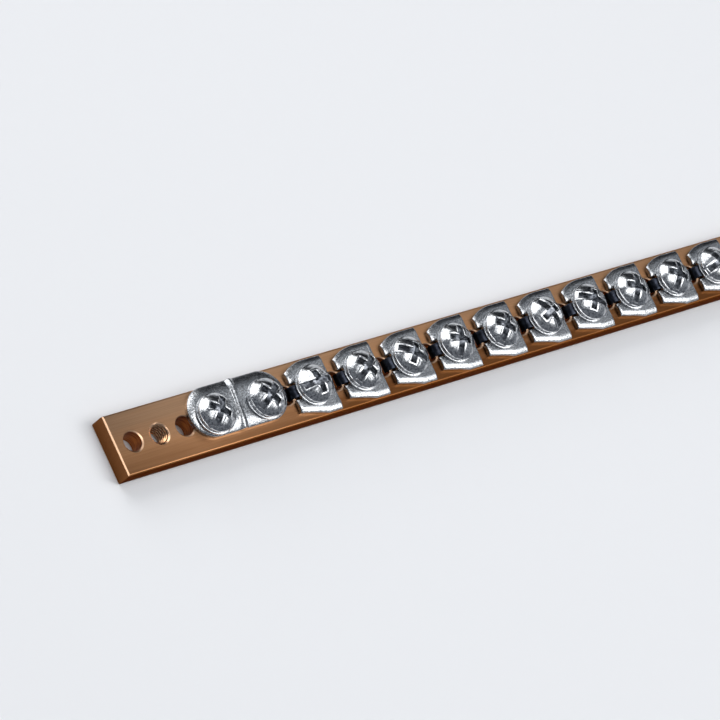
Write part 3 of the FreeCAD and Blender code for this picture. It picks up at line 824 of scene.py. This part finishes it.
screw_shape = bmesh.new()
bmesh.ops.create_circle(screw_shape, cap_ends=True, segments=RIM_POINTS, radius=DOME_REACH)
round_lines = [
    EDGE_ROUND + EDGE_BURR_REACH, EDGE_ROUND + EDGE_BURR_REACH / 2, EDGE_ROUND, EDGE_ROUND / 2,
    EDGE_ROUND * 0.134, 0, -WALL_LEAN,
]
for line in round_lines:
    cut_across(screw_shape, (1, 0, 0), SLOT_HALF + line)
    cut_across(screw_shape, (0, 1, 0), SLOT_HALF + line)
    cut_across(screw_shape, (1, 0, 0), SLOT_REACH + line)
    cut_across(screw_shape, (0, 1, 0), CROSS_REACH + line)
    cut_across(screw_shape, (DIAGONAL, DIAGONAL, 0), CORNER_CUT + line)
    cut_across(screw_shape, (DIAGONAL, -DIAGONAL, 0), CORNER_CUT + line)
for count in range(DOME_CUTS):
    cut_across(screw_shape, (1, 0, 0), (count + 0.5) * DOME_STEP)
    cut_across(screw_shape, (0, 1, 0), (count + 0.5) * DOME_STEP)
bmesh.ops.remove_doubles(screw_shape, verts=screw_shape.verts, dist=0.004 * MM)
ring = [point for point in screw_shape.verts if point.is_boundary]
for point in screw_shape.verts:
    point.co.z = head_height(point.co.x, point.co.y)
for radius, height in SIDE_PROFILE:
    ring = next_ring(screw_shape, ring, radius * MM, height * MM)
bmesh.ops.contextual_create(screw_shape, geom=ring_edges(ring))
for face in screw_shape.faces:
    places = [point.co for point in face.verts]
    inside = all(recess_distance(spot.x, spot.y) < -RECESS_START * WALL_LEAN for spot in places)
    if inside and all(spot.z > 0 for spot in places):
        face.material_index = RECESS_SURFACE
pattern_screw = finished_object("pattern_screw", screw_shape)


def bright_plating():
    """Bright nickel plating on a cold headed screw: nearly a mirror, rippled and finely pitted."""
    material, shader = new_material("bright_plated_screw", "#D3D5D8", 1.0, 0.16)
    link = material.node_tree.links.new
    place = add_node(material, "ShaderNodeTexCoord").outputs["Object"]
    ripple_size = 1.5 * MM
    ripple = add_node(material, "ShaderNodeTexNoise",
                      {"Scale": 1 / ripple_size, "Detail": 5.0, "Roughness": 0.62}, {"Vector": place})
    pit_size = 0.45 * MM
    pits = add_node(material, "ShaderNodeTexNoise", {"Scale": 1 / pit_size, "Detail": 2.0},
                    {"Vector": place})
    skin = ramp(material, pits.outputs["Fac"], (0.36, "#9C9EA2"), (0.56, "#D9DBDD"))
    link(skin, shader.inputs["Base Color"])
    gloss = add_node(material, "ShaderNodeMapRange", {"To Min": 0.11, "To Max": 0.3},
                     {"Value": ripple.outputs["Fac"]})
    link(gloss.outputs["Result"], shader.inputs["Roughness"])
    bump = add_node(material, "ShaderNodeBump", {"Strength": 0.5, "Distance": 0.085 * MM},
                    {"Height": ripple.outputs["Fac"]})
    pitted = add_node(material, "ShaderNodeBump", {"Strength": 0.5, "Distance": 0.01 * MM},
                      {"Height": pits.outputs["Fac"], "Normal": bump.outputs["Normal"]})
    link(pitted.outputs["Normal"], shader.inputs["Normal"])
    return material


def painted_shade_recess():
    """The recess's walls and floor: the punch's scored skin, painted dark as painted shade in the
    recess.
    """
    material, shader = new_material("recess_painted_shade", "#7D8086", 1.0, 0.3)
    place = add_node(material, "ShaderNodeTexCoord").outputs["Object"]
    score_size = 0.5 * MM
    scores = add_node(material, "ShaderNodeTexNoise", {"Scale": 1 / score_size, "Detail": 3.0},
                      {"Vector": place})
    skin = ramp(material, scores.outputs["Fac"], (0.35, "#4C4F55"), (0.65, "#8C8F95"))
    material.node_tree.links.new(skin, shader.inputs["Base Color"])
    bump = add_node(material, "ShaderNodeBump", {"Strength": 0.6, "Distance": 0.04 * MM},
                    {"Height": scores.outputs["Fac"]})
    material.node_tree.links.new(bump.outputs["Normal"], shader.inputs["Normal"])
    return material


pattern_screw.data.materials.append(bright_plating())
pattern_screw.data.materials.append(painted_shade_recess())
screw_nodes = sorted(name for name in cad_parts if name.startswith("terminal_screw"))
for index, node_name in enumerate(screw_nodes):
    turn = SCREW_TURNS[index] if index < len(SCREW_TURNS) else index * TURN_STEP % 180
    node_low, node_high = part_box(node_name)
    middle = (node_low + node_high) / 2
    underside = node_low.z + SHANK_LENGTH * MM
    place = Matrix.Translation((middle.x, 0, underside)) @ Matrix.Rotation(math.radians(turn), 4, "Z")
    screw = placed_copy(pattern_screw, f"pan_head_screw_{index + 1:02d}", place)
    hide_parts(node_name)
    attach(screw, "root")
bpy.data.objects.remove(pattern_screw)


# Floor and background
# A plain pale table under the bar, wide enough to fill every view, and a grey studio round it. One
# corner of the studio is dark, which gives the bright screws something dark to mirror.
FLOOR_SIZE = 12.0
FLOOR_GAP = 0.02 * MM
floor_shape = bmesh.new()
bmesh.ops.create_grid(floor_shape, x_segments=1, y_segments=1, size=FLOOR_SIZE / 2)
floor = finished_object("floor", floor_shape)
floor.data.transform(Matrix.Translation((0, 0, -FLOOR_GAP)))
floor.data.materials.append(new_material("pale_table", "#E6E7E9", 0.0, 0.6)[0])

world = bpy.data.worlds.new("studio")
bpy.context.scene.world = world
world.use_nodes = True
way = add_node(world, "ShaderNodeTexCoord").outputs["Generated"]
towards_dark = add_node(world, "ShaderNodeVectorMath", {"operation": "DOT_PRODUCT"})
world.node_tree.links.new(way, towards_dark.inputs[0])
towards_dark.inputs[1].default_value = Vector((0.62, 0.74, 0.1)).normalized()
studio = ramp(world, towards_dark.outputs["Value"],
              (0.0, "#6A6E75"), (0.62, "#A4A8AE"), (0.93, "#14171D"))
world.node_tree.links.new(studio, world.node_tree.nodes["Background"].inputs["Color"])


# Studio lamps
# A long softbox hangs overhead, from above the left end to the front, with a smaller one just below
# it, which makes its middle brighter. Another softbox stands behind the bar.
def softbox(name, direction, long_side, size, radiance, distance=1.3):
    """A rectangular softbox that faces the bar's left half from one direction."""
    target = Vector((-0.15, 0, 0.005))
    lamp = bpy.data.lights.new(name, "AREA")
    lamp.shape = "RECTANGLE"
    lamp.size = size[0] * distance
    lamp.size_y = size[1] * distance
    lamp.energy = radiance * math.pi * lamp.size * lamp.size_y
    item = bpy.data.objects.new(name, lamp)
    outward = Vector(direction).normalized()
    across = outward.cross(Vector(long_side)).normalized()
    turned = Matrix((across.cross(outward), across, outward)).transposed()
    item.matrix_world = Matrix.Translation(target + outward * distance) @ turned.to_4x4()
    bpy.context.scene.collection.objects.link(item)


softbox("overhead_softbox", (0.225, -0.185, 1.0), (0.868, -0.497, 0), (1.67, 0.66), 1.45)
softbox("overhead_softbox_core", (0.225, -0.185, 1.0), (0.868, -0.497, 0), (1.25, 0.36), 2.8,
        distance=1.29)
softbox("back_softbox", (-0.2, 0.80, 0.5), (1, 0.25, 0), (0.9, 0.72), 2.6)


# Camera
# It looks down on the bar's left half from beyond its left end, rolled so that the bar climbs
# gently to the right, with a long lens.
AIM = Vector((-162.6, 3.1, 5.0)) * MM
DISTANCE = 905.2 * MM
AZIMUTH = math.radians(-73.438)
ELEVATION = math.radians(49.172)
ROLL = math.radians(-52.061)
LENS = 191.84
SENSOR = 36.0

outward = Vector((
    math.sin(AZIMUTH) * math.cos(ELEVATION), -math.cos(AZIMUTH) * math.cos(ELEVATION),
    math.sin(ELEVATION),
))
camera_data = bpy.data.cameras.new("camera")
camera_data.lens = LENS
camera_data.sensor_width = SENSOR
camera_data.clip_start = 0.01
camera_data.clip_end = 50
camera = bpy.data.objects.new("camera", camera_data)
bpy.context.scene.collection.objects.link(camera)
level = (-outward).to_track_quat("-Z", "Y").to_matrix()
rolled = level @ Matrix.Rotation(-ROLL, 3, "Z")
camera.matrix_world = Matrix.Translation(AIM + outward * DISTANCE) @ rolled.to_4x4()
bpy.context.scene.camera = camera
bpy.context.scene.view_settings.view_transform = "Standard"
